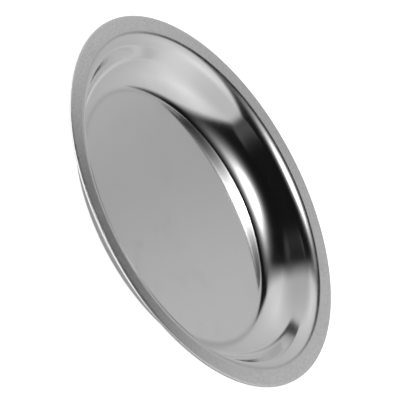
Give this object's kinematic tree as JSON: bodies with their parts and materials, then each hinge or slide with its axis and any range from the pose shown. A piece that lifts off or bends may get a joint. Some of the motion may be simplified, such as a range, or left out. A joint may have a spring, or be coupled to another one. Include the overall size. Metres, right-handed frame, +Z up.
{
  "type": "round dish",
  "caption": "Shallow round dish pressed from stainless sheet, with a flat floor, a curved wall and a flat flange round the rim, for small instruments or parts.",
  "frame": {"origin": "centre of the underside of the floor, on the axis of symmetry; the dish rests on this face", "axes": "+Z up, along the axis of symmetry; the dish is round, so X and Y are any two radii at right angles"},
  "size_m": [0.15, 0.15, 0.015],
  "materials": {
    "stainless_sheet": "mirror-polished inside the bowl, satin on the flange and on the outside"
  },
  "bodies": {
    "root": {"dish": "stainless_sheet"}
  },
  "joints": []
}
